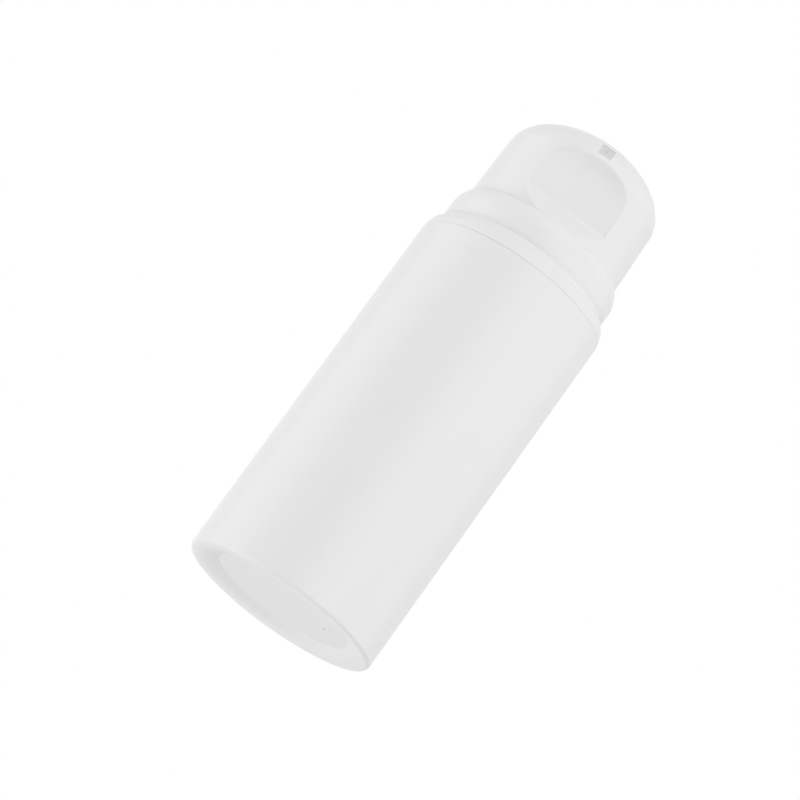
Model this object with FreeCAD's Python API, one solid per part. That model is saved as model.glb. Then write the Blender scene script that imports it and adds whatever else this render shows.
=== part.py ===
import FreeCAD, Part
import math
import os

# Airless pump bottle of the 50 ml class, standing on its base rim without an overcap.
# Millimetres. The origin is the centre of the base rim, +Z points up, the nozzle faces -Y.
# Every piece is at rest: the actuator is up and the follower piston lies at the bottom.

# Overall sizes, which the other pieces follow; the pump's height is what stands above the sleeve
OVERALL_HEIGHT = 109.6
PUMP_HEIGHT = 33.25
BODY_RADIUS = 20.0
PARTING_GAP = 0.05
SEAT_GAP = 0.05
OVERRUN = 5.0

# Outer sleeve: a straight tube with an inward lip that carries the container
SLEEVE_WALL = 1.25
SLEEVE_LIP = 1.1
SLEEVE_FOOT_WIDTH = 2.6
SLEEVE_FOOT_ROUND = 0.8
SLEEVE_TOP_ROUND = 0.1

# Inner container: the product chamber with a dished base and a vent hole
SLEEVE_CLEARANCE = 0.35
CONTAINER_WALL = 1.2
CONTAINER_ABOVE_SLEEVE = 1.55
CONTAINER_FLOOR = 1.3
CONTAINER_FLOOR_CHAMFER = 0.3
BASE_RECESS = 0.2
BASE_BOSS_GAP = 0.12
BASE_RIM_WIDTH = 0.35
DISH_DEPTH = 1.8
DISH_SLOPE_WIDTH = 3.3
DISH_ROUND = 0.3
VENT_RADIUS = 0.45
VENT_INSET = 2.1
VENT_ANGLE = -37.0
SNAP_BEAD = 0.22
CONTAINER_BEAD_DROP = 0.8

# Shoulder ring: rounded shoulder, hollow slope, neck, deck over the container and plug seal
SHOULDER_RISE = 1.75
SHOULDER_BULGE = 0.19
SHOULDER_BULGE_SHARE = 0.5
SHOULDER_INSET = 0.64
SLOPE_RISE = 2.75
SLOPE_INSET = 0.96
SLOPE_HOLLOW = 0.18
NECK_RISE = 3.1
NECK_WALL = 0.65
DECK_RISE = 1.65
DECK_THICKNESS = 1.6
PLUG_LENGTH = 3.0
PLUG_WALL = 1.05
PLUG_LEAD_IN = 0.4
DECK_BOSS_WALL = 1.2
DECK_BOSS_HEIGHT = 3.9
DECK_RIB_COUNT = 8
DECK_RIB_THICKNESS = 0.9
DECK_RIB_HEIGHT = 1.3

# Collar: the snap ring above the shoulder
COLLAR_INSET = 1.8
COLLAR_CROWN_WIDTH = 1.4
COLLAR_GAP = 0.1
COLLAR_BAND = 1.3
COLLAR_HEIGHT = 5.5
COLLAR_CROWN_SHARES = (0.36, 0.66)
COLLAR_FOOT_ROUND = 0.25
COLLAR_BEAD_SHARE = 0.5

# Actuator: skirt, domed head, front recess and nozzle window
SKIRT_CLEARANCE = 0.2
SKIRT_INSERTION = 2.6
SKIRT_DRAFT = 0.35
HEAD_WALL = 1.3
DOME_RISE = 9.9
DOME_SIDE_SHARE = 0.59
DOME_TOP_SHARE = 0.48
CEILING_DROP = 0.45
STROKE = 4.0
RECESS_DEPTH = 2.8
RECESS_FLAT_FOOT = 3.7
RECESS_COVE_RADIUS = 7.5
RECESS_COVE_DROP = 3.0
RECESS_LIP_ANGLE = 55.0
RECESS_ROUND = 0.6
SOCKET_RING_WALL = 1.1
SOCKET_RING_DEPTH = 5.0

# Nozzle window and its insert, in the dome above the recess
WINDOW_WIDTH = 2.75
WINDOW_HEIGHT = 3.0
WINDOW_DROP = 3.4
WINDOW_DEPTH = 5.25
WINDOW_FIT = 0.05
NOZZLE_SINK = 0.25
ORIFICE_RADIUS = 0.55

# Spout core: stem socket, spring cup and duct to the nozzle
HUB_RADIUS = 4.2
HUB_STOP_GAP = 0.05
CUP_RISE = 6.65
CUP_RADIUS = 7.0
CUP_THICKNESS = 1.1
CUP_RIM = 1.0
CUP_RIM_DEPTH = 1.0
SOCKET_ABOVE_CUP = 4.3
CHANNEL_RADIUS = 1.1
DUCT_WIDTH = 4.4
DUCT_HEIGHT = 3.0
CUP_RIB_COUNT = 4
CUP_RIB_THICKNESS = 1.0
CUP_RIB_HEIGHT = 3.0

# Stem and piston rod, one hollow carrier pressed together
STEM_RADIUS = 2.6
STEM_BORE = 1.5
STEM_FIT = 0.02
STEM_CHAMFER = 0.3
ROD_SPIGOT_LENGTH = 5.0
ROD_BORE = 0.8
ROD_HEAD_RADIUS = 2.9
ROD_HEAD_HEIGHT = 1.1
ROD_HEAD_LIP = 0.4
PORT_RADIUS = 0.45
PORT_RISE = 0.6

# Pump body: dosing barrel, flange, valve pocket and inlet
BARREL_RADIUS = 4.5
BARREL_WALL = 1.1
BARREL_DEPTH = 12.0
FLANGE_RADIUS = 9.4
FLANGE_THICKNESS = 1.2
GASKET_THICKNESS = 0.8
DECK_HOLE_CLEARANCE = 0.5
POCKET_RADIUS = 2.5
INLET_RADIUS = 1.2
INLET_WALL = 1.2
INLET_LENGTH = 1.0
SEAT_ANGLE = 47.0
BALL_RADIUS = 1.75
BALL_LIFT = 0.8
BALL_GAP = 0.04
CAGE_RADIUS = 3.5
CAGE_THICKNESS = 0.8
CAGE_WINDOW_COUNT = 3
CAGE_WINDOW_RADIUS = 0.65
CAGE_WINDOW_CIRCLE = 2.0

# Retainer: holds the flange down, guides the stem and carries the spring
RETAINER_THICKNESS = 1.2
RETAINER_RIM = 1.1
RETAINER_RIM_HEIGHT = 1.2
GUIDE_CLEARANCE = 0.08
GUIDE_WALL = 1.2
GUIDE_RISE = 1.5
GUIDE_DROP = 1.4
RING_FIT = 0.05

# Dosing piston: a double-lipped cup that slides a little on the rod
LIP_CLEARANCE = 0.05
LIP_RELIEF = 0.28
LIP_BAND = 0.7
LIP_TIP = 0.35
PISTON_HEIGHT = 4.6
PISTON_WALL = 0.6
PISTON_WEB = 1.1
PISTON_SLEEVE_WALL = 0.85
PISTON_SLEEVE_HEIGHT = 3.8
PISTON_SHIFT = 0.8
PISTON_GAP = 0.05

# Follower piston: crown with a well for the pump body, and two wiping lips
FOLLOWER_END_GAP = 0.25
FOLLOWER_CROWN_RISE = 3.0
FOLLOWER_BODY_INSET = 1.0
FOLLOWER_WALL = 1.1
FOLLOWER_CROWN_INSET = 1.5
FOLLOWER_LIP_BAND = 1.6
FOLLOWER_LIP_TIP = 0.7
FOLLOWER_CROWN_CHAMFER = 0.8
FOLLOWER_RIB_COUNT = 6
FOLLOWER_RIB_THICKNESS = 0.9
FOLLOWER_RIB_FOOT = 6.0
WELL_CLEARANCE = 1.1
WELL_END_CLEARANCE = 0.6
WELL_FLOOR = 1.0
WELL_LIFT = 0.6

# Return spring
SPRING_RADIUS = 5.0
WIRE_RADIUS = 0.35
WIRE_SIDES = 8
SPRING_TURNS = 6
SPRING_SAMPLES = 9

# Places that follow from the sizes above
SLEEVE_HEIGHT = OVERALL_HEIGHT - PUMP_HEIGHT
SLEEVE_BORE = BODY_RADIUS - SLEEVE_WALL
BASE_OPENING_RADIUS = BODY_RADIUS - SLEEVE_FOOT_WIDTH
DISH_FLOOR_RADIUS = BASE_OPENING_RADIUS - DISH_SLOPE_WIDTH
VENT_CIRCLE_RADIUS = DISH_FLOOR_RADIUS - VENT_INSET
CONTAINER_RADIUS = SLEEVE_BORE - SLEEVE_CLEARANCE
BORE_RADIUS = CONTAINER_RADIUS - CONTAINER_WALL
CONTAINER_TOP = SLEEVE_HEIGHT + CONTAINER_ABOVE_SLEEVE
CONTAINER_FLOOR_TOP = DISH_DEPTH + CONTAINER_FLOOR
RING_BOTTOM = SLEEVE_HEIGHT + PARTING_GAP
SHOULDER_EDGE = RING_BOTTOM + SHOULDER_RISE
SLOPE_TOP = SHOULDER_EDGE + SLOPE_RISE
COLLAR_BOTTOM = SLOPE_TOP + COLLAR_GAP
COLLAR_TOP = COLLAR_BOTTOM + COLLAR_HEIGHT
COLLAR_RADIUS = BODY_RADIUS - COLLAR_INSET
MOUTH_RADIUS = COLLAR_RADIUS - COLLAR_CROWN_WIDTH
SKIRT_RADIUS = MOUTH_RADIUS - SKIRT_CLEARANCE
NECK_RADIUS = MOUTH_RADIUS + NECK_WALL
NECK_TOP = SLOPE_TOP + NECK_RISE
NECK_BEAD_HEIGHT = COLLAR_BOTTOM + (NECK_TOP - COLLAR_BOTTOM) * COLLAR_BEAD_SHARE
DECK_TOP = RING_BOTTOM + DECK_RISE
DECK_BOTTOM = DECK_TOP - DECK_THICKNESS
PLUG_RADIUS = BORE_RADIUS - SEAT_GAP
FLANGE_BOTTOM = DECK_TOP + GASKET_THICKNESS
FLANGE_TOP = FLANGE_BOTTOM + FLANGE_THICKNESS
BARREL_OUTER = BARREL_RADIUS + BARREL_WALL
CHAMBER_FLOOR = FLANGE_TOP - BARREL_DEPTH
DECK_HOLE_RADIUS = BARREL_OUTER + DECK_HOLE_CLEARANCE
DECK_BOSS_INNER = FLANGE_RADIUS + RING_FIT
DECK_BOSS_OUTER = DECK_BOSS_INNER + DECK_BOSS_WALL
RETAINER_TOP = FLANGE_TOP + RETAINER_THICKNESS
GUIDE_RADIUS = STEM_RADIUS + GUIDE_CLEARANCE
GUIDE_OUTER = GUIDE_RADIUS + GUIDE_WALL
CUP_SEAT = COLLAR_TOP + CUP_RISE
HUB_FOOT = RETAINER_TOP + GUIDE_RISE + STROKE + HUB_STOP_GAP
STEM_TOP = CUP_SEAT + SOCKET_ABOVE_CUP
SKIRT_BOTTOM = COLLAR_TOP - SKIRT_INSERTION
DOME_BASE = OVERALL_HEIGHT - DOME_RISE
HEAD_RADIUS = SKIRT_RADIUS - SKIRT_DRAFT
CEILING = OVERALL_HEIGHT - HEAD_WALL - CEILING_DROP
NOZZLE_BACK = HEAD_RADIUS - WINDOW_DEPTH
WINDOW_TOP = OVERALL_HEIGHT - WINDOW_DROP
WINDOW_BOTTOM = WINDOW_TOP - WINDOW_HEIGHT
WINDOW_MIDDLE = WINDOW_BOTTOM + WINDOW_HEIGHT / 2
DUCT_BOTTOM = WINDOW_MIDDLE - DUCT_HEIGHT / 2
DUCT_TOP = WINDOW_MIDDLE + DUCT_HEIGHT / 2
RECESS_FOOT = COLLAR_TOP + RECESS_FLAT_FOOT
RECESS_COVE = DOME_BASE - RECESS_COVE_DROP
RECESS_FLAT = SKIRT_RADIUS - RECESS_DEPTH
PISTON_TOP_STOP = FLANGE_TOP - GUIDE_DROP
PISTON_TOP = PISTON_TOP_STOP - PISTON_GAP
PISTON_BOTTOM = PISTON_TOP - PISTON_HEIGHT
PISTON_BORE = STEM_BORE + LIP_CLEARANCE
PISTON_SLEEVE_TOP = PISTON_BOTTOM + PISTON_SLEEVE_HEIGHT
STEM_FOOT = PISTON_SLEEVE_TOP + PISTON_SHIFT + PISTON_GAP
ROD_HEAD_TOP = PISTON_BOTTOM - PISTON_GAP
ROD_FOOT = ROD_HEAD_TOP - ROD_HEAD_HEIGHT
ROD_TOP = STEM_FOOT + ROD_SPIGOT_LENGTH
CAGE_BOTTOM = CHAMBER_FLOOR - CAGE_THICKNESS
BALL_MIDDLE = CAGE_BOTTOM - BALL_GAP - BALL_LIFT - BALL_RADIUS
SEAT_APEX = BALL_MIDDLE - BALL_GAP - BALL_RADIUS / math.sin(math.radians(SEAT_ANGLE))
SEAT_TOP = SEAT_APEX + POCKET_RADIUS / math.tan(math.radians(SEAT_ANGLE))
SEAT_FOOT = SEAT_APEX + INLET_RADIUS / math.tan(math.radians(SEAT_ANGLE))
INLET_BOTTOM = SEAT_FOOT - INLET_LENGTH
FOLLOWER_BOTTOM = CONTAINER_FLOOR_TOP + CONTAINER_FLOOR_CHAMFER + FOLLOWER_END_GAP
FOLLOWER_LIP_RADIUS = BORE_RADIUS - LIP_CLEARANCE
CROWN_HIGHEST = RING_BOTTOM - PLUG_LENGTH - FOLLOWER_END_GAP + FOLLOWER_CROWN_RISE
WELL_RADIUS = BARREL_OUTER + WELL_CLEARANCE
WELL_DEPTH = CROWN_HIGHEST - INLET_BOTTOM + WELL_END_CLEARANCE
FOLLOWER_CROWN = FOLLOWER_BOTTOM + WELL_LIFT + WELL_FLOOR + WELL_DEPTH


def at(radius, height):
    """A point of a turned outline: distance from the axis and height."""
    return FreeCAD.Vector(radius, 0, height)


def outline(start, *steps):
    """A closed wire: a step is a point for a line, (through, end) for an arc, or an edge."""
    edges = []
    here = start
    for step in steps + (start,):
        if isinstance(step, Part.Edge):
            edges.append(step)
            here = max((end.Point for end in step.Vertexes), key=here.distanceToPoint)
        elif isinstance(step, tuple):
            edges.append(Part.Arc(here, step[0], step[1]).toShape())
            here = step[1]
        elif here.distanceToPoint(step) > 0:
            edges.append(Part.LineSegment(here, step).toShape())
            here = step
    return Part.Wire(Part.sortEdges(edges)[0])


def dome_edge(foot, crest):
    """The dome's curve, which leaves the foot upright and reaches the crest on the axis level."""
    side = at(foot.x, foot.z + (crest.z - foot.z) * DOME_SIDE_SHARE)
    over = at(foot.x * DOME_TOP_SHARE, crest.z)
    curve = Part.BezierCurve()
    curve.setPoles([foot, side, over, crest])
    return curve.toShape()


def turned(wire):
    """Turns a closed outline once round the Z axis."""
    return Part.Face(wire).revolve(FreeCAD.Vector(0, 0, 0), FreeCAD.Vector(0, 0, 1), 360)


def cylinder(radius, bottom, top):
    return Part.makeCylinder(radius, top - bottom, FreeCAD.Vector(0, 0, bottom))


def rod_along_y(radius, start, end, height):
    """A cylinder along Y from start to end at the given height."""
    place = FreeCAD.Vector(0, min(start, end), height)
    return Part.makeCylinder(radius, abs(end - start), place, FreeCAD.Vector(0, 1, 0))


def block(width, front, back, bottom, top):
    """A box centred on the YZ plane, from front to back along Y."""
    corner = FreeCAD.Vector(-width / 2, front, bottom)
    return Part.makeBox(width, back - front, top - bottom, corner)


def turned_copies(shape, count):
    """Evenly spaced copies of a shape round the Z axis."""
    copies = []
    for index in range(count):
        copy = shape.copy()
        copy.rotate(FreeCAD.Vector(0, 0, 0), FreeCAD.Vector(0, 0, 1), 360 * index / count)
        copies.append(copy)
    return copies


def level_edges(shape, height):
    """The edges of a shape that lie level at one height."""
    near = SEAT_GAP / 2
    boxes = [(edge, edge.BoundBox) for edge in shape.Edges]
    return [edge for edge, box in boxes
            if abs(box.ZMin - height) < near and abs(box.ZMax - height) < near]


def ring_edges(shape, radius, height):
    """The full circles of a turned shape that lie at one radius and height."""
    return [edge for edge in level_edges(shape, height)
            if abs(edge.BoundBox.XMax - radius) < SEAT_GAP / 2]


def rounded(shape, *rings):
    """Rounds circular edges, each given as (radius, height, round)."""
    for radius, height, size in rings:
        shape = shape.makeFillet(size, ring_edges(shape, radius, height))
    return shape


def snap_bead(radius, height, size):
    """A ring with two sloped flanks that stands proud of a cylinder of the given radius."""
    return turned(outline(at(radius - size, height - 2 * size), at(radius + size, height),
                          at(radius - size, height + 2 * size)))


def outer_sleeve():
    tube = turned(outline(
        at(BASE_OPENING_RADIUS, 0), at(BODY_RADIUS, 0), at(BODY_RADIUS, SLEEVE_HEIGHT),
        at(SLEEVE_BORE, SLEEVE_HEIGHT), at(SLEEVE_BORE, SLEEVE_LIP),
        at(BASE_OPENING_RADIUS, SLEEVE_LIP)))
    return rounded(tube, (BODY_RADIUS, 0, SLEEVE_FOOT_ROUND),
                   (BODY_RADIUS, SLEEVE_HEIGHT, SLEEVE_TOP_ROUND))


def inner_container():
    boss = BASE_OPENING_RADIUS - BASE_BOSS_GAP
    shell = turned(outline(
        at(0, DISH_DEPTH), at(DISH_FLOOR_RADIUS, DISH_DEPTH),
        at(boss - BASE_RIM_WIDTH, BASE_RECESS), at(boss, BASE_RECESS), at(boss, SLEEVE_LIP),
        at(CONTAINER_RADIUS, SLEEVE_LIP), at(CONTAINER_RADIUS, CONTAINER_TOP),
        at(BORE_RADIUS, CONTAINER_TOP), at(BORE_RADIUS, CONTAINER_FLOOR_TOP + CONTAINER_FLOOR_CHAMFER),
        at(BORE_RADIUS - CONTAINER_FLOOR_CHAMFER, CONTAINER_FLOOR_TOP), at(0, CONTAINER_FLOOR_TOP)))
    shell = rounded(shell, (DISH_FLOOR_RADIUS, DISH_DEPTH, DISH_ROUND))
    bead = snap_bead(CONTAINER_RADIUS, CONTAINER_TOP - CONTAINER_BEAD_DROP, SNAP_BEAD)
    vent = cylinder(VENT_RADIUS, 0, CONTAINER_FLOOR_TOP + OVERRUN)
    vent.translate(FreeCAD.Vector(VENT_CIRCLE_RADIUS, 0, 0))
    vent.rotate(FreeCAD.Vector(0, 0, 0), FreeCAD.Vector(0, 0, 1), VENT_ANGLE)
    return shell.fuse(bead).cut(vent)


def shoulder_ring():
    rim = BODY_RADIUS - PARTING_GAP
    edge = BODY_RADIUS - SHOULDER_INSET
    bulge = at(rim - SHOULDER_BULGE, RING_BOTTOM + SHOULDER_RISE * SHOULDER_BULGE_SHARE)
    slot = CONTAINER_RADIUS + SEAT_GAP
    hollow = at(edge - SLOPE_INSET / 2 - SLOPE_HOLLOW, SLOPE_TOP - SLOPE_RISE / 2)
    ring = turned(outline(
        at(PLUG_RADIUS - PLUG_WALL, DECK_BOTTOM), at(PLUG_RADIUS - PLUG_WALL, RING_BOTTOM - PLUG_LENGTH),
        at(PLUG_RADIUS - PLUG_LEAD_IN, RING_BOTTOM - PLUG_LENGTH),
        at(PLUG_RADIUS, RING_BOTTOM - PLUG_LENGTH + PLUG_LEAD_IN), at(PLUG_RADIUS, CONTAINER_TOP),
        at(slot, CONTAINER_TOP), at(slot, RING_BOTTOM), at(rim, RING_BOTTOM),
        (bulge, at(edge, SHOULDER_EDGE)), (hollow, at(edge - SLOPE_INSET, SLOPE_TOP)),
        at(NECK_RADIUS, SLOPE_TOP), at(NECK_RADIUS, NECK_TOP), at(MOUTH_RADIUS, NECK_TOP),
        at(MOUTH_RADIUS, DECK_TOP), at(DECK_BOSS_OUTER, DECK_TOP),
        at(DECK_BOSS_OUTER, DECK_TOP + DECK_BOSS_HEIGHT),
        at(DECK_BOSS_INNER, DECK_TOP + DECK_BOSS_HEIGHT), at(DECK_BOSS_INNER, DECK_TOP),
        at(DECK_HOLE_RADIUS, DECK_TOP), at(DECK_HOLE_RADIUS, DECK_BOTTOM)))
    ring = ring.fuse(snap_bead(NECK_RADIUS, NECK_BEAD_HEIGHT, SNAP_BEAD))
    ring = ring.cut([
        snap_bead(CONTAINER_RADIUS, CONTAINER_TOP - CONTAINER_BEAD_DROP, SNAP_BEAD + SEAT_GAP),
        snap_bead(FLANGE_RADIUS, RETAINER_TOP, SNAP_BEAD + SEAT_GAP)])
    middle = (DECK_BOSS_OUTER + MOUTH_RADIUS) / 2
    length = MOUTH_RADIUS - DECK_BOSS_OUTER + NECK_WALL / 2
    rib = block(DECK_RIB_THICKNESS, -length / 2, length / 2, DECK_TOP, DECK_TOP + DECK_RIB_HEIGHT)
    rib.translate(FreeCAD.Vector(0, middle, 0))
    return ring.fuse(turned_copies(rib, DECK_RIB_COUNT)).removeSplitter()


def collar():
    inside = NECK_RADIUS + SEAT_GAP
    band_top = COLLAR_BOTTOM + COLLAR_BAND
    inset_share, rise_share = COLLAR_CROWN_SHARES
    crown = at(COLLAR_RADIUS - (COLLAR_RADIUS - MOUTH_RADIUS) * inset_share,
               band_top + (COLLAR_TOP - band_top) * rise_share)
    ring = turned(outline(
        at(inside, COLLAR_BOTTOM), at(COLLAR_RADIUS, COLLAR_BOTTOM), at(COLLAR_RADIUS, band_top),
        (crown, at(MOUTH_RADIUS, COLLAR_TOP)), at(MOUTH_RADIUS, NECK_TOP), at(inside, NECK_TOP)))
    ring = rounded(ring, (COLLAR_RADIUS, COLLAR_BOTTOM, COLLAR_FOOT_ROUND))
    return ring.cut(snap_bead(NECK_RADIUS, NECK_BEAD_HEIGHT, SNAP_BEAD + SEAT_GAP))


def deck_gasket():
    return cylinder(FLANGE_RADIUS, DECK_TOP, FLANGE_BOTTOM).cut(
        cylinder(DECK_HOLE_RADIUS, DECK_TOP, FLANGE_BOTTOM))


def pump_body():
    inlet_outer = INLET_RADIUS + INLET_WALL
    return turned(outline(
        at(BARREL_RADIUS, FLANGE_TOP), at(FLANGE_RADIUS, FLANGE_TOP), at(FLANGE_RADIUS, FLANGE_BOTTOM),
        at(BARREL_OUTER, FLANGE_BOTTOM), at(BARREL_OUTER, CAGE_BOTTOM),
        at(POCKET_RADIUS + INLET_WALL, SEAT_TOP), at(inlet_outer, SEAT_FOOT),
        at(inlet_outer, INLET_BOTTOM), at(INLET_RADIUS, INLET_BOTTOM), at(INLET_RADIUS, SEAT_FOOT),
        at(POCKET_RADIUS, SEAT_TOP), at(POCKET_RADIUS, CAGE_BOTTOM), at(CAGE_RADIUS, CAGE_BOTTOM),
        at(CAGE_RADIUS, CHAMBER_FLOOR), at(BARREL_RADIUS, CHAMBER_FLOOR)))


def inlet_ball():
    return Part.makeSphere(BALL_RADIUS, FreeCAD.Vector(0, 0, BALL_MIDDLE))


def ball_cage():
    disc = cylinder(CAGE_RADIUS - STEM_FIT, CAGE_BOTTOM, CHAMBER_FLOOR)
    window = cylinder(CAGE_WINDOW_RADIUS, CAGE_BOTTOM - OVERRUN, CHAMBER_FLOOR + OVERRUN)
    window.translate(FreeCAD.Vector(CAGE_WINDOW_CIRCLE, 0, 0))
    return disc.cut(turned_copies(window, CAGE_WINDOW_COUNT))


def pump_retainer():
    drop_radius = BARREL_RADIUS - RING_FIT
    rim_top = RETAINER_TOP + RETAINER_RIM_HEIGHT
    ring = turned(outline(
        at(GUIDE_RADIUS, PISTON_TOP_STOP), at(drop_radius, PISTON_TOP_STOP), at(drop_radius, FLANGE_TOP),
        at(FLANGE_RADIUS, FLANGE_TOP), at(FLANGE_RADIUS, rim_top),
        at(FLANGE_RADIUS - RETAINER_RIM, rim_top), at(FLANGE_RADIUS - RETAINER_RIM, RETAINER_TOP),
        at(GUIDE_OUTER, RETAINER_TOP), at(GUIDE_OUTER, RETAINER_TOP + GUIDE_RISE),
        at(GUIDE_RADIUS, RETAINER_TOP + GUIDE_RISE)))
    return ring.fuse(snap_bead(FLANGE_RADIUS, RETAINER_TOP, SNAP_BEAD))


def dosing_piston():
    lip = BARREL_RADIUS - LIP_CLEARANCE
    relief = lip - LIP_RELIEF
    inside = relief - PISTON_WALL
    sleeve = PISTON_BORE + PISTON_SLEEVE_WALL
    middle = PISTON_BOTTOM + PISTON_HEIGHT / 2
    web_bottom = middle - PISTON_WEB / 2
    web_top = middle + PISTON_WEB / 2
    return turned(outline(
        at(PISTON_BORE, PISTON_BOTTOM), at(sleeve, PISTON_BOTTOM), at(sleeve, web_bottom),
        at(inside, web_bottom), at(lip - LIP_TIP, PISTON_BOTTOM), at(lip, PISTON_BOTTOM),
        at(lip, PISTON_BOTTOM + LIP_BAND), at(relief, PISTON_BOTTOM + LIP_BAND + LIP_RELIEF),
        at(relief, PISTON_TOP - LIP_BAND - LIP_RELIEF), at(lip, PISTON_TOP - LIP_BAND),
        at(lip, PISTON_TOP), at(lip - LIP_TIP, PISTON_TOP), at(inside, web_top), at(sleeve, web_top),
        at(sleeve, PISTON_SLEEVE_TOP), at(PISTON_BORE, PISTON_SLEEVE_TOP)))


def piston_rod():
    shaft = STEM_BORE - STEM_FIT
    rod = turned(outline(
        at(0, ROD_FOOT), at(STEM_BORE, ROD_FOOT), at(ROD_HEAD_RADIUS, ROD_HEAD_TOP - ROD_HEAD_LIP),
        at(ROD_HEAD_RADIUS, ROD_HEAD_TOP), at(shaft, ROD_HEAD_TOP), at(shaft, ROD_TOP),
        at(ROD_BORE, ROD_TOP), at(ROD_BORE, ROD_HEAD_TOP), at(0, ROD_HEAD_TOP)))
    return rod.cut(rod_along_y(PORT_RADIUS, -STEM_RADIUS, STEM_RADIUS, ROD_HEAD_TOP + PORT_RISE))


def stem():
    return turned(outline(
        at(STEM_BORE, STEM_FOOT), at(STEM_RADIUS, STEM_FOOT), at(STEM_RADIUS, STEM_TOP - STEM_CHAMFER),
        at(STEM_RADIUS - STEM_CHAMFER, STEM_TOP), at(STEM_BORE, STEM_TOP)))


def arc_with_tangent(start, corner, end):
    """The arc from start to end whose two end tangents meet at the corner."""
    chord = (end - start) / 2
    middle = start + chord
    rise = corner - middle
    if rise.Length == 0:
        return Part.LineSegment(start, end).toShape()
    sagitta = chord.Length * math.tan(math.atan2(rise.Length, chord.Length) / 2)
    return Part.Arc(start, middle + rise * (sagitta / rise.Length), end).toShape()


def helix_arcs(radius, bottom, top, turns):
    """A helix as pairs of tangent arcs, one pair for each quarter turn."""
    quarters = 4 * turns
    climb = (top - bottom) / quarters
    run = radius * math.pi / 2
    edges = []
    for index in range(quarters):
        ends = []
        for place in (index, index + 1):
            angle = place * math.pi / 2
            point = FreeCAD.Vector(radius * math.cos(angle), radius * math.sin(angle),
                                   bottom + climb * place)
            tangent = FreeCAD.Vector(-run * math.sin(angle), run * math.cos(angle), climb)
            ends.append((point, tangent.normalize()))
        (first, leaving), (last, arriving) = ends
        way = last - first
        both = leaving + arriving
        bend = 2 * (1 - leaving.dot(arriving))
        reach = (math.sqrt(way.dot(both) ** 2 + bend * way.dot(way)) - way.dot(both)) / bend
        join = (first + last + (leaving - arriving) * reach) / 2
        edges.append(arc_with_tangent(first, first + leaving * reach, join))
        edges.append(arc_with_tangent(join, last - arriving * reach, last))
    return edges


def least_turn_gap(edges, wire_radius):
    """The least clear distance between neighbouring turns, measured on points."""
    points = []
    for edge in edges:
        points.extend(edge.discretize(SPRING_SAMPLES)[:-1])
    turn = 8 * (SPRING_SAMPLES - 1)
    gaps = []
    for index, point in enumerate(points):
        for other in points[index + turn * 3 // 4:index + turn * 5 // 4]:
            gaps.append(point.distanceToPoint(other) - 2 * wire_radius)
    return min(gaps)


def wire_section(radius, middle, along):
    """The wire's many-sided section, square to its direction."""
    spoke = along.cross(FreeCAD.Vector(0, 0, 1)).normalize() * radius
    corners = []
    for side in range(WIRE_SIDES + 1):
        turn = FreeCAD.Rotation(along, 360 * side / WIRE_SIDES)
        corners.append(middle + turn.multVec(spoke))
    return Part.makePolygon(corners)


def return_spring():
    bottom = RETAINER_TOP + WIRE_RADIUS + PISTON_GAP
    top = CUP_SEAT - WIRE_RADIUS - PISTON_GAP
    edges = helix_arcs(SPRING_RADIUS, bottom, top, SPRING_TURNS)
    print("least gap between the spring's turns", round(least_turn_gap(edges, WIRE_RADIUS), 3), "mm")
    start = edges[0].Vertexes[0].Point
    along = edges[0].tangentAt(edges[0].FirstParameter)
    section = wire_section(WIRE_RADIUS, start, along)
    return Part.Wire(edges).makePipeShell([section], True, False)


def head_form(inset):
    """The head's turned outside, drawn in by an inset and open below by the same amount."""
    skirt = SKIRT_RADIUS - inset
    head = HEAD_RADIUS - inset
    return turned(outline(
        at(0, SKIRT_BOTTOM - inset), at(skirt, SKIRT_BOTTOM - inset), at(skirt, COLLAR_TOP),
        at(head, DOME_BASE), dome_edge(at(head, DOME_BASE), at(0, OVERALL_HEIGHT - inset))))


def recess_tool(inset):
    """The space in front of the head's flat, with a lip slope below and a cove above."""
    flat = -(RECESS_FLAT - inset)
    far = -(BODY_RADIUS + OVERRUN)
    slope = math.radians(RECESS_LIP_ANGLE)
    foot = RECESS_FOOT - inset * math.tan((math.pi / 2 - slope) / 2)
    reach = RECESS_COVE_RADIUS + inset
    front = flat - reach

    def side(depth, height):
        return FreeCAD.Vector(-BODY_RADIUS, depth, height)

    through = side(front + reach * math.cos(math.pi / 4), RECESS_COVE + reach * math.sin(math.pi / 4))
    profile = Part.Face(outline(
        side(flat, foot), side(flat, RECESS_COVE), (through, side(front, RECESS_COVE + reach)),
        side(far, RECESS_COVE + reach), side(far, foot - (flat - far) * math.tan(slope))))
    return profile.extrude(FreeCAD.Vector(2 * BODY_RADIUS, 0, 0))


def shared_edges(shape, first, second):
    """The edges of a shape whose middles lie on the skins of two other shapes."""
    found = []
    for edge in shape.Edges:
        middle = Part.Vertex(edge.valueAt((edge.FirstParameter + edge.LastParameter) / 2))
        if all(middle.distToShape(skin.Shells[0])[0] < SEAT_GAP / 100 for skin in (first, second)):
            found.append(edge)
    return found


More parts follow.
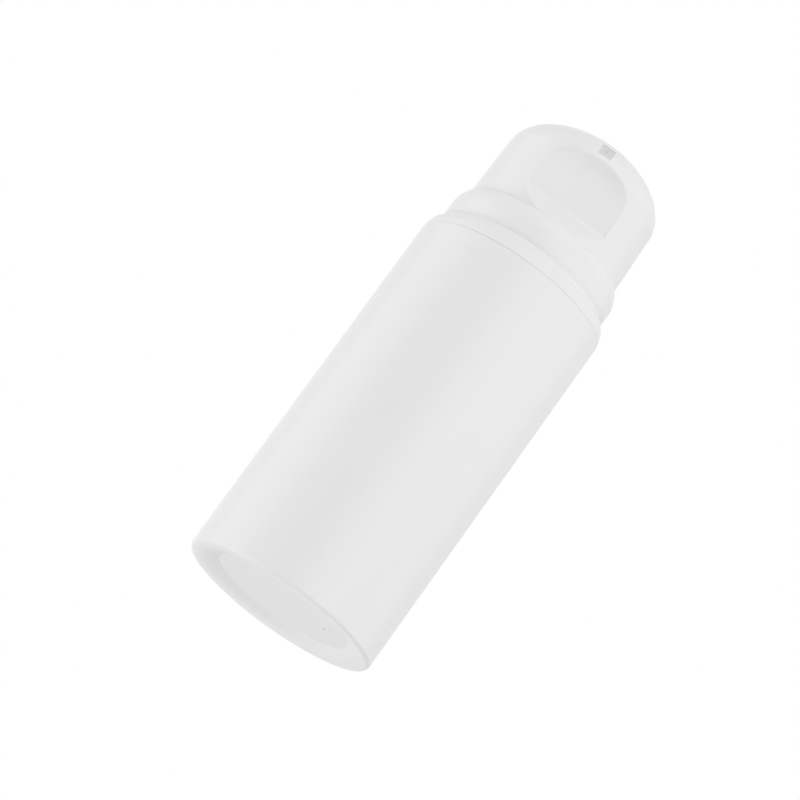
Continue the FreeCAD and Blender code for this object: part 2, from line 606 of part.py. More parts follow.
def actuator_shell():
    outside = head_form(0)
    cavity = head_form(HEAD_WALL).cut(recess_tool(HEAD_WALL))
    recess = recess_tool(0)
    head = outside.cut(recess)
    rim = shared_edges(head, outside, recess)
    flat_foot = level_edges(head, RECESS_FOOT)
    shell = head.makeFillet(RECESS_ROUND, rim + flat_foot).cut(cavity)
    inner = HUB_RADIUS + RING_FIT
    ring_foot = CEILING - SOCKET_RING_DEPTH
    ring = cylinder(inner + SOCKET_RING_WALL, ring_foot, OVERALL_HEIGHT).common(
        head_form(HEAD_WALL / 2)).cut(cylinder(inner, ring_foot, CEILING))
    duct = block(DUCT_WIDTH + 2 * WINDOW_FIT, -NOZZLE_BACK, 0, DUCT_BOTTOM - WINDOW_FIT,
                 DUCT_TOP + WINDOW_FIT)
    window = block(WINDOW_WIDTH, -BODY_RADIUS, -NOZZLE_BACK, WINDOW_BOTTOM, WINDOW_TOP)
    return shell.fuse(ring).cut(window).cut(duct)


def spout_core():
    socket = STEM_RADIUS + STEM_FIT
    cup_foot = CUP_SEAT - CUP_RIM_DEPTH
    cup_top = CUP_SEAT + CUP_THICKNESS
    hub = turned(outline(
        at(socket, HUB_FOOT), at(HUB_RADIUS, HUB_FOOT),
        at(HUB_RADIUS, CUP_SEAT), at(CUP_RADIUS - CUP_RIM, CUP_SEAT), at(CUP_RADIUS - CUP_RIM, cup_foot),
        at(CUP_RADIUS, cup_foot), at(CUP_RADIUS, cup_top), at(HUB_RADIUS, cup_top),
        at(HUB_RADIUS, CEILING), at(0, CEILING), at(0, STEM_TOP), at(socket, STEM_TOP)))
    duct = block(DUCT_WIDTH, -NOZZLE_BACK, 0, DUCT_BOTTOM, DUCT_TOP)
    rib = block(CUP_RIB_THICKNESS, -CUP_RADIUS, -STEM_RADIUS, cup_top, cup_top + CUP_RIB_HEIGHT)
    ribs = turned_copies(rib, CUP_RIB_COUNT)
    bore = cylinder(socket, HUB_FOOT, STEM_TOP)
    riser = cylinder(CHANNEL_RADIUS, STEM_TOP, WINDOW_MIDDLE)
    channel = rod_along_y(CHANNEL_RADIUS, -NOZZLE_BACK, 0, WINDOW_MIDDLE)
    return hub.fuse([duct] + ribs).cut([bore, riser, channel]).removeSplitter()


def nozzle_insert():
    body = block(WINDOW_WIDTH - 2 * WINDOW_FIT, -BODY_RADIUS, -NOZZLE_BACK,
                 WINDOW_BOTTOM + WINDOW_FIT, WINDOW_TOP - WINDOW_FIT)
    face = head_form(NOZZLE_SINK)
    orifice = rod_along_y(ORIFICE_RADIUS, -BODY_RADIUS, 0, WINDOW_MIDDLE)
    return body.common(face).cut(orifice)


def follower_piston():
    bottom = FOLLOWER_BOTTOM
    lip = FOLLOWER_LIP_RADIUS
    body = lip - FOLLOWER_BODY_INSET
    crown = lip - FOLLOWER_CROWN_INSET
    inside = crown - FOLLOWER_WALL
    top = FOLLOWER_CROWN
    lip_top = top - FOLLOWER_CROWN_RISE
    well_floor = top - WELL_DEPTH
    well_outer = WELL_RADIUS + FOLLOWER_WALL
    slope = FOLLOWER_LIP_BAND + FOLLOWER_BODY_INSET
    cup = turned(outline(
        at(0, well_floor - WELL_FLOOR), at(well_outer, well_floor - WELL_FLOOR),
        at(well_outer, top - FOLLOWER_WALL), at(inside, top - FOLLOWER_WALL), at(inside, bottom + slope),
        at(lip - FOLLOWER_LIP_TIP, bottom), at(lip, bottom), at(lip, bottom + FOLLOWER_LIP_BAND),
        at(body, bottom + slope), at(body, lip_top - slope), at(lip, lip_top - FOLLOWER_LIP_BAND),
        at(lip, lip_top), at(lip - FOLLOWER_LIP_TIP, lip_top), at(crown, lip_top - slope),
        at(crown, top - FOLLOWER_CROWN_CHAMFER), at(crown - FOLLOWER_CROWN_CHAMFER, top),
        at(WELL_RADIUS + FOLLOWER_CROWN_CHAMFER, top), at(WELL_RADIUS, top - FOLLOWER_CROWN_CHAMFER),
        at(WELL_RADIUS, well_floor), at(0, well_floor)))
    rib = block(FOLLOWER_RIB_THICKNESS, well_outer - FOLLOWER_WALL / 2, inside + FOLLOWER_WALL / 2,
                bottom + FOLLOWER_RIB_FOOT, top - FOLLOWER_WALL / 2)
    return cup.fuse(turned_copies(rib, FOLLOWER_RIB_COUNT)).removeSplitter()


PIECES = (outer_sleeve, inner_container, shoulder_ring, collar, deck_gasket, pump_body, inlet_ball,
          ball_cage, pump_retainer, dosing_piston, piston_rod, stem, return_spring, actuator_shell,
          spout_core, nozzle_insert, follower_piston)

os.makedirs("parts", exist_ok=True)
for piece in PIECES:
    solid = piece()
    solid.exportStep("parts/" + piece.__name__ + ".step")
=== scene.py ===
import math
import bmesh
import bpy
from mathutils import Matrix, Vector


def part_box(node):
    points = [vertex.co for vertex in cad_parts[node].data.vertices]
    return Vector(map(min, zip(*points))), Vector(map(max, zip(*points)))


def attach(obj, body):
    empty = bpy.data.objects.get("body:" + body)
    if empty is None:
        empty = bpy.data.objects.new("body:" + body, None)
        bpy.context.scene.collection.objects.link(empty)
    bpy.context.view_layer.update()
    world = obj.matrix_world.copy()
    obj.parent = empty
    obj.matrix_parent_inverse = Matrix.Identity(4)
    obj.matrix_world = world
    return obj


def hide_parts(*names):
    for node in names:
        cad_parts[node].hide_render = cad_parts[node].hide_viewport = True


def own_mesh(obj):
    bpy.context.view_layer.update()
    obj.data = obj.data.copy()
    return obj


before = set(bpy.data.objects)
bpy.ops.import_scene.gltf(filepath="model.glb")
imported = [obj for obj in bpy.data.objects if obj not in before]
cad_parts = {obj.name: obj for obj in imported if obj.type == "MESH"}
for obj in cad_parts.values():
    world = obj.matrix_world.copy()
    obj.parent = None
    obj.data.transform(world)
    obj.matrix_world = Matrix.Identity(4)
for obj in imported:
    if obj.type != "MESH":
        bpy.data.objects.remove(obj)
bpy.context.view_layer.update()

bl_info = {
    "name": "Airless pump bottle",
    "version": (1, 0, 0),
    "blender": (4, 5, 0),
    "location": "View3D > Sidebar > Bottle",
    "description": "Builds the visible skins, finishes and studio of an airless pump bottle",
    "category": "Object",
}

MM = 0.001

# Places read from the solids, in metres. The nozzle is set a little lower than its solid
SLEEVE_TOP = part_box("outer_sleeve")[1]
CONTAINER_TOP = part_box("inner_container")[1]
RING_LOW, RING_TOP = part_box("shoulder_ring")
COLLAR_LOW, COLLAR_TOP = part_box("collar")
SHELL_LOW, SHELL_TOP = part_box("actuator_shell")
NOZZLE_DROP = Vector((0, 0, 0.25 * MM))
NOZZLE_LOW, NOZZLE_TOP = [corner - NOZZLE_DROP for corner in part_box("nozzle_insert")]
SPRING_LOW, SPRING_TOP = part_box("return_spring")

# How finely forms are divided, and the radius below which a ring is a single point
CIRCLE_STEPS = 240
ROUND_STEPS = 7
CURVE_STEPS = 28
VENT_SIDES = 32
OUTLET_SIDES = 24
SHARP_ANGLE = math.radians(38)
POINT_RADIUS = 0.001 * MM

# Sleeve and container, which meet in the base. The sleeve ends lower than its solid by its drop.
# Inwards of the rim's edge an arc curves up to the dish
SLEEVE_WALL = 1.25 * MM
SLEEVE_LIP = 1.1 * MM
FOOT_ROUND = 0.8 * MM
SLEEVE_TOP_ROUND = 0.1 * MM
SLEEVE_DROP = 0.5 * MM
BASE_OPENING = 17.4 * MM
BOSS_GAP = 0.015 * MM
RIM_EDGE = 18.6 * MM
RIM_CURVE = 6.0 * MM
RIM_CURVE_TURN = math.radians(27)
DISH_FLOOR = 14.3 * MM
DISH_DEPTH = 1.45 * MM
DISH_ROUND = 0.5 * MM
CONTAINER_FLOOR = 1.65 * MM
CONTAINER_RADIUS = 18.4 * MM
BORE_RADIUS = 17.2 * MM
FLOOR_ROUND = 0.3 * MM
VENT_RADIUS = 0.28 * MM
VENT_CIRCLE = 9.1 * MM
VENT_ANGLE = math.radians(-5)

# Shoulder ring and collar. The collar's band and tucked foot end lower than its solid by their
# drops, and the arc of its crown passes at two shares, one of its way inwards and one of its way up
PARTING_GAP = 0.02 * MM
SHOULDER_RISE = 2.25 * MM
SHOULDER_BULGE = 0.19 * MM
SHOULDER_INSET = 0.6 * MM
SHOULDER_LEDGE = 0.14 * MM
SLOPE_INSET = 1.3 * MM
SLOPE_HOLLOW = 0.14 * MM
MOUTH_RADIUS = 16.8 * MM
MOUTH_ROUND = 0.12 * MM
NECK_WALL = 0.65 * MM
NECK_FIT = 0.05 * MM
DECK_TOP = 78.05 * MM
DECK_HOLE = 6.1 * MM
DECK_BOSS_INNER = 9.45 * MM
DECK_BOSS_WALL = 1.2 * MM
DECK_BOSS_HEIGHT = 3.9 * MM
DECK_THICKNESS = 1.6 * MM
PLUG_OUTER = 17.15 * MM
PLUG_WALL = 1.05 * MM
CONTAINER_SLOT = 18.45 * MM
COLLAR_FOOT_GAP = 0.02 * MM
COLLAR_BAND = 1.3 * MM
COLLAR_FOOT_ROUND = 0.5 * MM
COLLAR_FOOT_DROP = 1.05 * MM
COLLAR_FOOT_TUCK = 0.3 * MM
COLLAR_BAND_DROP = 0.4 * MM
CROWN_SHARES = (0.36, 0.66)

# Actuator head. The dome is a curve whose two handles are shares of its rise and its radius. The
# recess has a flat wall in front of the axis, sloped sides, a coved ceiling and a sloped lip
HEAD_DRAFT = 0.35 * MM
HEAD_WALL = 1.3 * MM
DOME_RISE = 9.9 * MM
DOME_SIDE_SHARE = 0.59
DOME_TOP_SHARE = 0.48
DOME_STEPS = 72
RECESS_FLAT = 13.8 * MM
RECESS_SINK = 0.1 * MM
RECESS_SIDE_SLOPE = 0.5
RECESS_HALF_WIDTH = 8.95 * MM
RECESS_FOOT = 3.7 * MM
RECESS_COVE_DROP = 3.0 * MM
RECESS_COVE_RADIUS = 7.5 * MM
COVE_END_SHARE = 0.999
RECESS_LIP_ANGLE = math.radians(55)
RECESS_SOFTNESS = 0.35 * MM
EDGE_SOFTNESS = 0.14 * MM
SINK_SOFTNESS = 0.1 * MM
HEAD_LEVEL_STEP = 0.22 * MM
WINDOW_FIT = 0.02 * MM
NOZZLE_SINK = 0.06 * MM
NOZZLE_STEPS = 16
OUTLET_RADIUS = 0.15 * MM
OUTLET_DEPTH = 0.25 * MM

# Points round the head, from the front to the back, in degrees: where each stretch ends, and its step
HEAD_STEPS = ((26, 0.75), (40, 0.25), (60, 0.75), (180, 3))

# Return spring, wound at one length
WIRE_RADIUS = 0.35 * MM
WIRE_SIDES = 12
SPRING_TURNS = 6
TURN_STEPS = 48

# Moulded plastics: their refraction, the size of their flow marks and how far their sheen varies
POLYPROPYLENE_IOR = 1.49
POLYETHYLENE_IOR = 1.51
FLOW_MARK_SIZE = 14 * MM
SHEEN_SPREAD = 0.03

# The picture that the camera takes: where the bottle's middle is in it, in pixels from its left and
# top edges, and the focal length in pixels. Blender counts the sensor's width in millimetres
PICTURE_SIDE = 800
BOTTLE_IN_PICTURE = (440.1, 382.4)
BOTTLE_MIDDLE = Vector((0, 0, 53 * MM))
FOCAL_LENGTH_IN_PIXELS = 4271
SENSOR_WIDTH = 36.0
CLIP_START = 0.01
CLIP_END = 20

# The floor, in metres: just below the bottle's foot, and fading to white between two distances
FLOOR_SIZE = 3.0
FLOOR_GAP = 0.05 * MM
FADE_START = 0.12
FADE_END = 0.7

# Softboxes round the bottle's middle, in metres: width and height, and then for each its name, its
# turn from the front to the right and its tilt upwards in degrees, its size and its power in watts
SOFTBOX_DISTANCE = 0.9
TALL_BOX = (0.94, 1.2)
WIDE_BOX = (0.7, 0.5)
SQUARE_BOX = (0.6, 0.6)
SOFTBOXES = (
    ("right_front_softbox", 30, 0, TALL_BOX, 4.42),
    ("left_front_softbox", -30, 0, TALL_BOX, 0.37),
    ("left_softbox", -90, 0, TALL_BOX, 3.27),
    ("right_softbox", 90, 0, TALL_BOX, 1.8),
    ("low_left_softbox", -90, -50, WIDE_BOX, 2.6),
    ("low_back_softbox", 180, -50, WIDE_BOX, 0.84),
    ("low_softbox", 0, -85, SQUARE_BOX, 0.3),
    ("high_left_softbox", -90, 50, WIDE_BOX, 0.55),
    ("high_front_softbox", 0, 50, WIDE_BOX, 1.15),
    ("high_right_softbox", 90, 50, WIDE_BOX, 0.35),
    ("top_softbox", 0, 85, SQUARE_BOX, 0.62),
)


def linear(code):
    """An sRGB hex colour as linear red, green, blue and alpha."""
    parts = [int(code[place:place + 2], 16) / 255 for place in (1, 3, 5)]
    return tuple(part / 12.92 if part <= 0.04045 else ((part + 0.055) / 1.055) ** 2.4
                 for part in parts) + (1.0,)


class BottleSizes(bpy.types.PropertyGroup):
    body_radius: bpy.props.FloatProperty(
        name="Body radius", description="Radius of the outer sleeve",
        default=SLEEVE_TOP.x, unit='LENGTH')
    sleeve_height: bpy.props.FloatProperty(
        name="Sleeve height", description="Height of the outer sleeve above the base rim",
        default=SLEEVE_TOP.z - SLEEVE_DROP, unit='LENGTH')
    skirt_radius: bpy.props.FloatProperty(
        name="Actuator radius", description="Radius of the actuator's skirt",
        default=SHELL_TOP.x, unit='LENGTH')
    overall_height: bpy.props.FloatProperty(
        name="Overall height", description="Height of the actuator's top above the base rim",
        default=SHELL_TOP.z, unit='LENGTH')


class BottleColours(bpy.types.PropertyGroup):
    shell: bpy.props.FloatVectorProperty(
        name="Outer plastic", description="Colour of the sleeve, rings and actuator",
        default=linear("#EBEBEC"), size=4, min=0, max=1, subtype='COLOR')
    container: bpy.props.FloatVectorProperty(
        name="Container", description="Colour of the inner container",
        default=linear("#E9E9EA"), size=4, min=0, max=1, subtype='COLOR')
    # The nozzle's grey is painted shade, standing in for the shadow inside its opening
    nozzle: bpy.props.FloatVectorProperty(
        name="Nozzle", description="Colour of the nozzle insert",
        default=linear("#D6D6D7"), size=4, min=0, max=1, subtype='COLOR')
    pump: bpy.props.FloatVectorProperty(
        name="Pump", description="Colour of the unpigmented pump pieces",
        default=linear("#E2E3DF"), size=4, min=0, max=1, subtype='COLOR')


class BottleStudio(bpy.types.PropertyGroup):
    lean: bpy.props.FloatProperty(
        name="Lean", description="How far the bottle leans clockwise in the picture",
        default=math.radians(35.85), subtype='ANGLE')
    camera_elevation: bpy.props.FloatProperty(
        name="Camera elevation", description="Angle of the camera above the bottle's middle",
        default=math.radians(-16.3), subtype='ANGLE')
    camera_distance: bpy.props.FloatProperty(
        name="Camera distance", description="From the camera to the bottle's middle",
        default=0.8, unit='LENGTH')
    fill: bpy.props.FloatProperty(
        name="Fill light", description="Strength of the even light from all round",
        default=0.376, min=0)


# Materials

def add_node(tree, kind, settings=None, links=None):
    """Adds a shader node, sets its inputs and properties, and links its inputs."""
    node = tree.nodes.new(kind)
    for name, value in (settings or {}).items():
        if isinstance(name, str) and name in node.bl_rna.properties:
            setattr(node, name, value)
        else:
            node.inputs[name].default_value = value
    for name, source in (links or {}).items():
        tree.links.new(source, node.inputs[name])
    return node


def new_material(name):
    """A new material and its node tree, which is empty."""
    material = bpy.data.materials.new(name)
    material.use_nodes = True
    material.node_tree.nodes.clear()
    return material, material.node_tree


def finish_surface(tree, kind, settings, links):
    """Adds the last shader of a material's tree and the output that it goes to."""
    surface = add_node(tree, kind, settings, links)
    add_node(tree, "ShaderNodeOutputMaterial", None, {"Surface": surface.outputs[0]})


def moulded_plastic(name, colour, roughness, grain, relief, mottle, settings):
    """Plastic from a spark-eroded mould: a fine grain, faint flow marks and a soft sheen."""
    material, tree = new_material(name)
    place = add_node(tree, "ShaderNodeTexCoord").outputs["Object"]
    darker = tuple(channel * (1 - mottle) for channel in colour[:3]) + (1.0,)
    flow = add_node(tree, "ShaderNodeTexNoise", {"Scale": 1 / FLOW_MARK_SIZE, "Detail": 2.0},
                    {"Vector": place})
    tint = add_node(tree, "ShaderNodeMix", {"data_type": 'RGBA', 6: darker, 7: tuple(colour)},
                    {0: flow.outputs["Fac"]})
    fine = add_node(tree, "ShaderNodeTexNoise", {"Scale": 1 / grain, "Detail": 3.0, "Roughness": 0.6},
                    {"Vector": place})
    bump = add_node(tree, "ShaderNodeBump", {"Strength": 1.0, "Distance": relief},
                    {"Height": fine.outputs["Fac"]})
    sheen = add_node(tree, "ShaderNodeMapRange",
                     {"To Min": roughness - SHEEN_SPREAD, "To Max": roughness + SHEEN_SPREAD},
                     {"Value": flow.outputs["Fac"]})
    finish_surface(tree, "ShaderNodeBsdfPrincipled", settings,
                   {"Base Color": tint.outputs[2], "Roughness": sheen.outputs["Result"],
                    "Normal": bump.outputs["Normal"]})
    return material


def satin_polypropylene(colours):
    """Opaque white polypropylene from a finely eroded mould: even, matte, with a broad soft sheen."""
    return moulded_plastic("satin_white_polypropylene", colours.shell, roughness=0.32,
                           grain=0.35 * MM, relief=0.0012 * MM, mottle=0.012,
                           settings={"IOR": POLYPROPYLENE_IOR})


def plain_polypropylene(colours):
    """The container's white polypropylene, a little duller and coarser than the sleeve's."""
    return moulded_plastic("plain_white_polypropylene", colours.container, roughness=0.36,
                           grain=0.5 * MM, relief=0.0015 * MM, mottle=0.012,
                           settings={"IOR": POLYPROPYLENE_IOR})


def natural_polypropylene(colours):
    """Unpigmented polypropylene: milky, with light passing a little way into it."""
    return moulded_plastic("natural_polypropylene", colours.pump, roughness=0.3,
                           grain=0.6 * MM, relief=0.001 * MM, mottle=0.03,
                           settings={"IOR": POLYPROPYLENE_IOR, "Subsurface Weight": 0.35,
                                     "Subsurface Scale": 1.2 * MM})


def nozzle_painted_shade_plastic(colours):
    """The nozzle insert's plastic, painted a shade greyer than the shell round it as painted shade for
    the shadow inside the nozzle's opening.
    """
    return moulded_plastic("nozzle_painted_shade_grey_plastic", colours.nozzle, roughness=0.5,
                           grain=0.3 * MM, relief=0.0015 * MM, mottle=0.02,
                           settings={"IOR": POLYPROPYLENE_IOR})


def waxy_polyethylene():
    """Low-density polyethylene of the sliding pistons: waxy, slightly yellow and a little translucent."""
    return moulded_plastic("waxy_polyethylene", linear("#EAE9E2"), roughness=0.34,
                           grain=0.8 * MM, relief=0.001 * MM, mottle=0.03,
                           settings={"IOR": POLYETHYLENE_IOR, "Subsurface Weight": 0.3,
                                     "Subsurface Scale": 1.0 * MM})


def gasket_foam():
    """Closed-cell polyethylene foam, die-cut: dull, with cut cells that show as fine pits, their bottoms
    darkened by painted shade.
    """
    cell_size, pit_depth = 0.25 * MM, 0.03 * MM
    material, tree = new_material("closed_cell_foam")
    place = add_node(tree, "ShaderNodeTexCoord").outputs["Object"]
    cells = add_node(tree, "ShaderNodeTexVoronoi", {"Scale": 1 / cell_size}, {"Vector": place})
    # The tint is darker where each pit sinks: painted shade in the pits
    tint = add_node(tree, "ShaderNodeMix",
                    {"data_type": 'RGBA', 6: linear("#D9D8D2"), 7: linear("#F0EFEA")},
                    {0: cells.outputs["Distance"]})
    bump = add_node(tree, "ShaderNodeBump", {"Distance": pit_depth},
                    {"Height": cells.outputs["Distance"]})
    finish_surface(tree, "ShaderNodeBsdfPrincipled", {"Roughness": 0.85, "IOR": 1.5},
                   {"Base Color": tint.outputs[2], "Normal": bump.outputs["Normal"]})
    return material


def drawn_steel(name, stretch, roughness):
    """Stainless steel, drawn or ground: fine lines in its tint, its roughness and its relief."""
    line_spacing, line_depth, spread = 0.12 * MM, 0.002 * MM, 0.06
    material, tree = new_material(name)
    place = add_node(tree, "ShaderNodeTexCoord").outputs["Object"]
    drawn = add_node(tree, "ShaderNodeMapping", {"Scale": stretch}, {"Vector": place})
    lines = add_node(tree, "ShaderNodeTexNoise", {"Scale": 1 / line_spacing, "Detail": 2.0},
                     {"Vector": drawn.outputs["Vector"]})
    tint = add_node(tree, "ShaderNodeMix",
                    {"data_type": 'RGBA', 6: linear("#B9BABC"), 7: linear("#D2D3D4")},
                    {0: lines.outputs["Fac"]})
    rough = add_node(tree, "ShaderNodeMapRange",
                     {"To Min": roughness - spread, "To Max": roughness + spread},
                     {"Value": lines.outputs["Fac"]})
    bump = add_node(tree, "ShaderNodeBump", {"Distance": line_depth}, {"Height": lines.outputs["Fac"]})
    finish_surface(tree, "ShaderNodeBsdfPrincipled", {"Metallic": 1.0},
                   {"Base Color": tint.outputs[2], "Roughness": rough.outputs["Result"],
                    "Normal": bump.outputs["Normal"]})
    return material


def coat(objects, material):
    """Gives objects one material in place of what they have."""
    for obj in objects:
        obj.data.materials.clear()
        obj.data.materials.append(material)


# Forms

def arc_points(start, through, end):
    """Points of the circle through three points, from start to end."""
    (ax, ay), (bx, by), (cx, cy) = start, through, end
    scale = 2 * (ax * (by - cy) + bx * (cy - ay) + cx * (ay - by))
    first_square, middle_square, last_square = (x * x + y * y for x, y in (start, through, end))
    across = (first_square * (by - cy) + middle_square * (cy - ay) + last_square * (ay - by)) / scale
    up = (first_square * (cx - bx) + middle_square * (ax - cx) + last_square * (bx - ax)) / scale
    radius = math.hypot(ax - across, ay - up)
    first = math.atan2(ay - up, ax - across)
    last = math.atan2(cy - up, cx - across)
    sweep = (last - first + math.pi) % (2 * math.pi) - math.pi
    angles = [first + sweep * step / CURVE_STEPS for step in range(CURVE_STEPS + 1)]
    return [(across + radius * math.cos(angle), up + radius * math.sin(angle)) for angle in angles]


def rounded_outline(corners):
    """A closed outline from corners (radius, height), rounded where a third value gives a radius."""
    points = []
    for index, (radius, height, *size) in enumerate(corners):
        here = Vector((radius, height))
        if not size:
            points.append(here)
            continue
        back = (Vector(corners[index - 1][:2]) - here).normalized()
        ahead = (Vector(corners[(index + 1) % len(corners)][:2]) - here).normalized()
        half = back.angle(ahead) / 2
        reach = size[0] / math.tan(half)
        middle = here + (back + ahead).normalized() * (size[0] / math.sin(half))
        first, last = here + back * reach - middle, here + ahead * reach - middle
        turn = first.angle_signed(last)
        for step in range(ROUND_STEPS + 1):
            spoke = first.copy()
            spoke.rotate(Matrix.Rotation(-turn * step / ROUND_STEPS, 2))
            points.append(middle + spoke)
    return [(point[0], point[1]) for point in points]


def join_rings(form, low, high):
    """Adds the faces between two closed rings of points, either of which may be a single point."""
    count = max(len(low), len(high))
    if count == 1:
        return
    for step in range(count):
        ahead = (step + 1) % count
        if len(low) == 1:
            form.faces.new((low[0], high[ahead], high[step]))
        elif len(high) == 1:
            form.faces.new((low[step], low[ahead], high[0]))
        else:
            form.faces.new((low[step], low[ahead], high[ahead], high[step]))


def turned_form(outline):
    """A closed outline turned once round the Z axis, as a bmesh form."""
    form = bmesh.new()
    angles = [2 * math.pi * step / CIRCLE_STEPS for step in range(CIRCLE_STEPS)]
    rings = []
    for radius, height in outline:
        if radius < POINT_RADIUS:
            rings.append([form.verts.new((0, 0, height))])
            continue
        rings.append([form.verts.new((radius * math.sin(angle), -radius * math.cos(angle), height))
                      for angle in angles])
    for low, high in zip(rings, rings[1:] + rings[:1]):
        join_rings(form, low, high)
    return form


def placed_object(name, form):
    """Turns a bmesh form into an object in the scene."""
    mesh = bpy.data.meshes.new(name)
    form.to_mesh(mesh)
    form.free()
    placed = bpy.data.objects.new(name, mesh)
    bpy.context.scene.collection.objects.link(placed)
    return placed


def smooth_shading(mesh):
    """Smooth shading, with the sharper edges left sharp."""
    mesh.shade_smooth()
    mesh.set_sharp_from_angle(angle=SHARP_ANGLE)


def finished_piece(name, form, body, node, material):
    """Turns a bmesh form into a shaded piece that rides on its body and replaces its solid."""
    bmesh.ops.recalc_face_normals(form, faces=form.faces)
    piece = placed_object(name, form)
    smooth_shading(piece.data)
    piece.data.materials.append(material)
    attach(piece, body)
    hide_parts(node)
    return piece


def cut_away(piece, form, name):
    """Cuts a bmesh form out of a piece with an exact boolean, which is then applied."""
    bmesh.ops.recalc_face_normals(form, faces=form.faces)
    tool = placed_object(name, form)
    modifier = piece.modifiers.new("cut", 'BOOLEAN')
    modifier.operation = 'DIFFERENCE'
    modifier.solver = 'EXACT'
    modifier.object = tool
    bpy.context.view_layer.update()
    cut = piece.evaluated_get(bpy.context.evaluated_depsgraph_get())
    piece.data = bpy.data.meshes.new_from_object(cut)
    piece.modifiers.clear()
    bpy.data.objects.remove(tool)
    smooth_shading(piece.data)


def box_form(low, high):
    """A box as a bmesh form, from its lowest to its highest corner."""
    form = bmesh.new()
    size = high - low
    place = Matrix.Translation((low + high) / 2) @ Matrix.Diagonal(size.to_4d())
    bmesh.ops.create_cube(form, size=1.0, matrix=place)
    return form


def rod_form(radius, length, sides, place):
    """A round rod along its own Z axis, as a bmesh form at a place."""
    form = bmesh.new()
    bmesh.ops.create_cone(form, cap_ends=True, segments=sides, radius1=radius, radius2=radius,
                          depth=length, matrix=place)
    return form


def soft_least(first, second, softness):
    """The smaller of two lengths, with the change from one to the other rounded off."""
    near = max(softness - abs(first - second), 0) / softness
    return min(first, second) - near * near * softness / 4


def rim_outline(low_radius, high_radius):
    """The curve from the flat rim up towards the dish, between two radii."""
    points = []
    for step in range(CURVE_STEPS + 1):
        radius = low_radius + (high_radius - low_radius) * step / CURVE_STEPS
        inward = max(RIM_EDGE - radius, 0)
        points.append((radius, RIM_CURVE - math.sqrt(RIM_CURVE * RIM_CURVE - inward * inward)))
    return points


class BOTTLE_OT_outer_sleeve(bpy.types.Operator):
    """Builds the straight outer sleeve with its rounded foot"""
    bl_idname = "airless_bottle.outer_sleeve"
    bl_label = "Outer sleeve"

    def execute(self, context):
        sizes = context.scene.bottle_sizes
        inside = sizes.body_radius - SLEEVE_WALL
        outline = rounded_outline(rim_outline(BASE_OPENING, RIM_EDGE) + [
            (sizes.body_radius, 0, FOOT_ROUND),
            (sizes.body_radius, sizes.sleeve_height, SLEEVE_TOP_ROUND), (inside, sizes.sleeve_height),
            (inside, SLEEVE_LIP), (BASE_OPENING, SLEEVE_LIP)])
        finished_piece("sleeve_skin", turned_form(outline), "bottle", "outer_sleeve",
                       satin_polypropylene(context.scene.bottle_colours))
        return {'FINISHED'}


class BOTTLE_OT_inner_container(bpy.types.Operator):
    """Builds the container with the dished base and its vent hole"""
    bl_idname = "airless_bottle.inner_container"
    bl_label = "Inner container"

    def execute(self, context):
        boss = BASE_OPENING - BOSS_GAP
        curve_end = RIM_EDGE - RIM_CURVE * math.sin(RIM_CURVE_TURN)
        floor_top = DISH_DEPTH + CONTAINER_FLOOR
        outline = rounded_outline([(0, DISH_DEPTH), (DISH_FLOOR, DISH_DEPTH, DISH_ROUND)]
                                  + rim_outline(curve_end, boss) + [
            (boss, SLEEVE_LIP), (CONTAINER_RADIUS, SLEEVE_LIP), (CONTAINER_RADIUS, CONTAINER_TOP.z),
            (BORE_RADIUS, CONTAINER_TOP.z), (BORE_RADIUS, floor_top, FLOOR_ROUND), (0, floor_top)])
        piece = finished_piece("container_skin", turned_form(outline), "bottle", "inner_container",
                               plain_polypropylene(context.scene.bottle_colours))
        spot = Vector((VENT_CIRCLE * math.cos(VENT_ANGLE), VENT_CIRCLE * math.sin(VENT_ANGLE),
                       floor_top / 2))
        hole = rod_form(VENT_RADIUS, 2 * floor_top, VENT_SIDES, Matrix.Translation(spot))
        cut_away(piece, hole, "vent_hole")
        return {'FINISHED'}


class BOTTLE_OT_shoulder_ring(bpy.types.Operator):
    """Builds the rounded and sloped shoulder with its neck and deck"""
    bl_idname = "airless_bottle.shoulder_ring"
    bl_label = "Shoulder ring"

    def execute(self, context):
        rim = RING_TOP.x
        edge = rim - SHOULDER_INSET
        foot = context.scene.bottle_sizes.sleeve_height + PARTING_GAP
        edge_height = foot + SHOULDER_RISE
        slope_top = COLLAR_LOW.z - COLLAR_FOOT_DROP - COLLAR_FOOT_GAP
        neck = MOUTH_RADIUS + NECK_WALL
        bulge = arc_points((rim, foot), (rim - SHOULDER_BULGE, foot + SHOULDER_RISE / 2),
                           (edge, edge_height))
        inner = edge - SHOULDER_LEDGE
        halfway = (inner - SLOPE_INSET / 2 - SLOPE_HOLLOW, (edge_height + slope_top) / 2)
        slope = arc_points((inner, edge_height), halfway, (inner - SLOPE_INSET, slope_top))
        deck_bottom = DECK_TOP - DECK_THICKNESS
        boss_outer = DECK_BOSS_INNER + DECK_BOSS_WALL
        outline = [
            (PLUG_OUTER - PLUG_WALL, deck_bottom), (PLUG_OUTER - PLUG_WALL, RING_LOW.z),
            (PLUG_OUTER, RING_LOW.z), (PLUG_OUTER, CONTAINER_TOP.z), (CONTAINER_SLOT, CONTAINER_TOP.z),
            (CONTAINER_SLOT, foot)] + bulge + slope + [
            (neck, slope_top), (neck, RING_TOP.z), (MOUTH_RADIUS, RING_TOP.z),
            (MOUTH_RADIUS, DECK_TOP), (boss_outer, DECK_TOP), (boss_outer, DECK_TOP + DECK_BOSS_HEIGHT),
            (DECK_BOSS_INNER, DECK_TOP + DECK_BOSS_HEIGHT), (DECK_BOSS_INNER, DECK_TOP),
            (DECK_HOLE, DECK_TOP), (DECK_HOLE, deck_bottom)]
        finished_piece("shoulder_skin", turned_form(outline), "bottle", "shoulder_ring",
                       satin_polypropylene(context.scene.bottle_colours))
        return {'FINISHED'}


